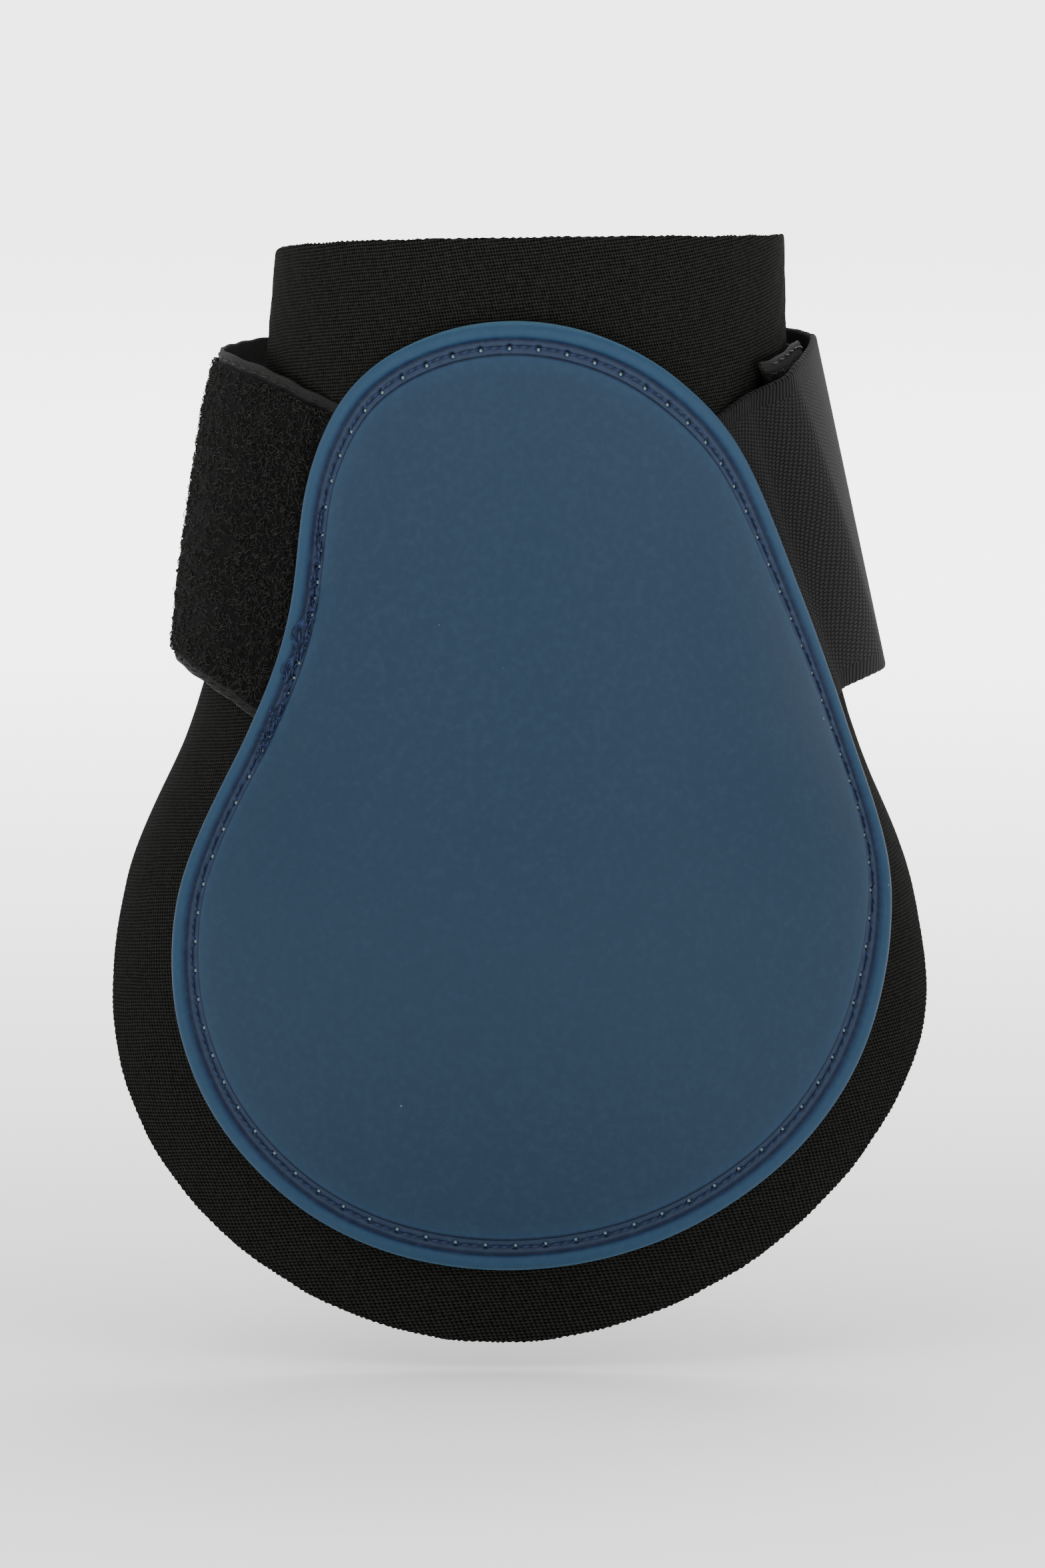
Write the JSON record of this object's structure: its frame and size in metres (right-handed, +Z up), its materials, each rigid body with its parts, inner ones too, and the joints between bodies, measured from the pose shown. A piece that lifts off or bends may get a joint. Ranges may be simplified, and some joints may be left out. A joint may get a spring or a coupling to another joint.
{
  "type": "hind fetlock boot",
  "caption": "Hind fetlock boot for a horse: moulded strike shell on a foam liner, closed by an elastic strap and a loop-pile strap.",
  "frame": {"origin": "leg's axis at the height of the straps", "axes": "+Z up the leg, -Y the way the shell faces, +X towards the elastic strap"},
  "size_m": [0.1177, 0.1022, 0.1592],
  "materials": {
    "moulded_shell": "matt moulded polyurethane",
    "blue_thread": "bonded thread",
    "black_thread": "bonded thread",
    "foam": "closed-cell foam",
    "neoprene": "closed-cell neoprene",
    "knit_jersey": "fine black knit",
    "webbing": "plain woven tape",
    "loop_pile": "brushed loops",
    "hook_tape": "moulded hooks",
    "elastic_web": "ribbed woven elastic"
  },
  "bodies": {
    "boot_body": {"strike_shell": "moulded_shell", "shell_seam_thread": "blue_thread", "bobbin_thread": "blue_thread", "impact_pad": "foam", "liner_outer_jersey": "knit_jersey", "liner_foam_core": "neoprene", "liner_inner_jersey": "knit_jersey", "pile_strap_tail": "webbing", "elastic_strap_tail": "elastic_web"},
    "left_wing": {"left_wing_outer_jersey": "knit_jersey", "left_wing_foam_core": "neoprene", "left_wing_inner_jersey": "knit_jersey"},
    "right_wing": {"right_wing_outer_jersey": "knit_jersey", "right_wing_foam_core": "neoprene", "right_wing_inner_jersey": "knit_jersey"},
    "pile_side": {"pile_backing_side": "webbing", "pile_face_side": "loop_pile", "pile_side_stitches": "black_thread"},
    "pile_end": {"pile_backing_end": "webbing", "pile_face_end": "loop_pile", "pile_end_stitches": "black_thread"},
    "elastic_side": {"elastic_strap_side": "elastic_web"},
    "elastic_end": {"elastic_strap_end": "elastic_web", "hook_patch": "hook_tape", "hook_patch_stitches": "black_thread"},
    "pull_tab": {"pull_tab": "elastic_web"}
  },
  "joints": [
    {"name": "elastic_strap_opening", "type": "hinge", "parent": "boot_body", "child": "elastic_side", "pos_m": [0.03907, -0.01629, -0.0005], "axis": [0.3013, 0.2428, -0.9221], "range_deg": [0, 105]},
    {"name": "elastic_end_fold", "type": "hinge", "parent": "elastic_side", "child": "elastic_end", "pos_m": [0.0444, 0.02256, 0.005], "axis": [0.1991, 0.046, -0.9789], "range_deg": [0, 60.01]},
    {"name": "pile_strap_opening", "type": "hinge", "parent": "boot_body", "child": "pile_side", "pos_m": [-0.03612, -0.02408, -0.0005], "axis": [0.165, 0.073, 0.9836], "range_deg": [0, 65.01]},
    {"name": "pile_end_fold", "type": "hinge", "parent": "pile_side", "child": "pile_end", "pos_m": [-0.02462, 0.04271, 0.0045], "axis": [0.0244, -0.1193, 0.9926], "range_deg": [0, 100.01]},
    {"name": "left_wing_spread", "type": "hinge", "parent": "boot_body", "child": "left_wing", "pos_m": [-0.04511, -0.0097, 0], "axis": [0.2189, 0.0274, 0.9754], "range_deg": [0, 25.01]},
    {"name": "right_wing_spread", "type": "hinge", "parent": "boot_body", "child": "right_wing", "pos_m": [0.04445, -0.0097, 0], "axis": [0.1821, -0.0276, -0.9829], "range_deg": [0, 25.01]},
    {"name": "pull_tab_peel", "type": "hinge", "parent": "elastic_end", "child": "pull_tab", "pos_m": [-0.02856, 0.04394, 0.005], "axis": [-0.0325, 0.1152, -0.9928], "range_deg": [0, 55]}
  ],
  "couplings": [
    {"joint": "elastic_end_fold", "follows": "elastic_strap_opening", "ratio": 0.57143},
    {"joint": "pile_strap_opening", "follows": "elastic_strap_opening", "ratio": 0.61905},
    {"joint": "pile_end_fold", "follows": "elastic_strap_opening", "ratio": 0.95238},
    {"joint": "left_wing_spread", "follows": "elastic_strap_opening", "ratio": 0.2381},
    {"joint": "right_wing_spread", "follows": "elastic_strap_opening", "ratio": 0.2381}
  ]
}
